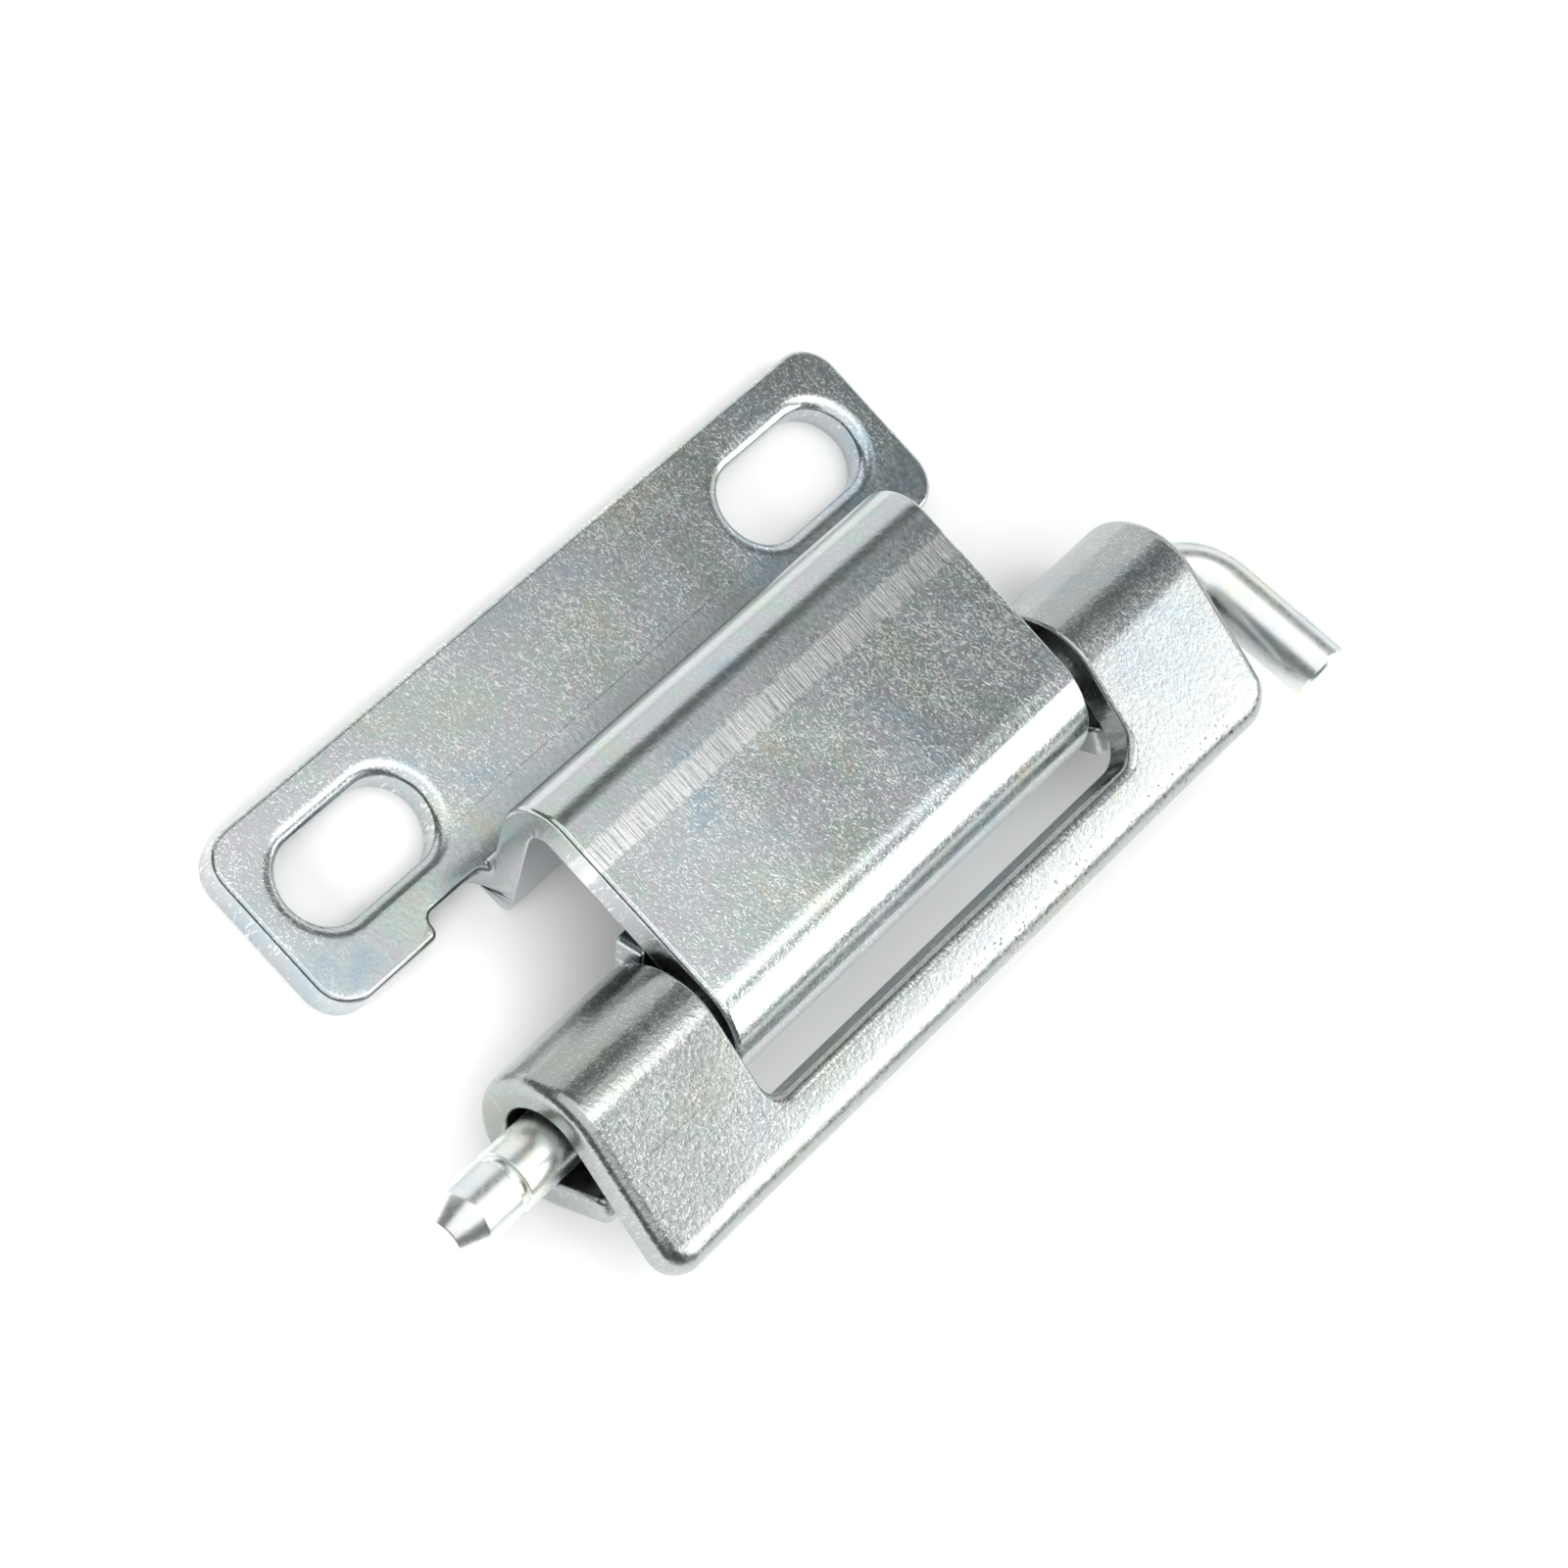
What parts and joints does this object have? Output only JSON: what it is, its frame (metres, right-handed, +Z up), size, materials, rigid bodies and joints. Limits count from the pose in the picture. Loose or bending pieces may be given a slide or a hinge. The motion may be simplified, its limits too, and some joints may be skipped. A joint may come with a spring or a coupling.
{
  "type": "concealed hinge",
  "caption": "Concealed cabinet hinge with a slotted plate folded into a raised panel, a weld-on leaf with rolled knuckles, and a pull-out pin with a bent handle.",
  "frame": {"origin": "on the seating face of the mounting plate, midway between its two slots", "axes": "+X along the pin from its tip to its handle, +Y from the pin towards the plate's outer edge, +Z up from the seating face"},
  "size_m": [0.0904, 0.0451, 0.012],
  "materials": {
    "frame_leaf_zinc": "bright zinc plate with short strokes",
    "door_leaf_zinc": "satin zinc plate",
    "pin_zinc": "polished zinc plate"
  },
  "bodies": {
    "frame_leaf": {"frame_leaf": "frame_leaf_zinc"},
    "door_leaf": {"door_leaf": "door_leaf_zinc"},
    "hinge_pin": {"hinge_pin": "pin_zinc"}
  },
  "joints": [
    {"name": "door_swing", "type": "hinge", "parent": "frame_leaf", "child": "door_leaf", "pos_m": [0, -0.0236, 0.0064], "axis": [-1, 0, 0], "range_deg": [-170, 115]},
    {"name": "pin_pull", "type": "slide", "parent": "frame_leaf", "child": "hinge_pin", "axis": [1, 0, 0], "range_m": [0, 0.083]}
  ]
}
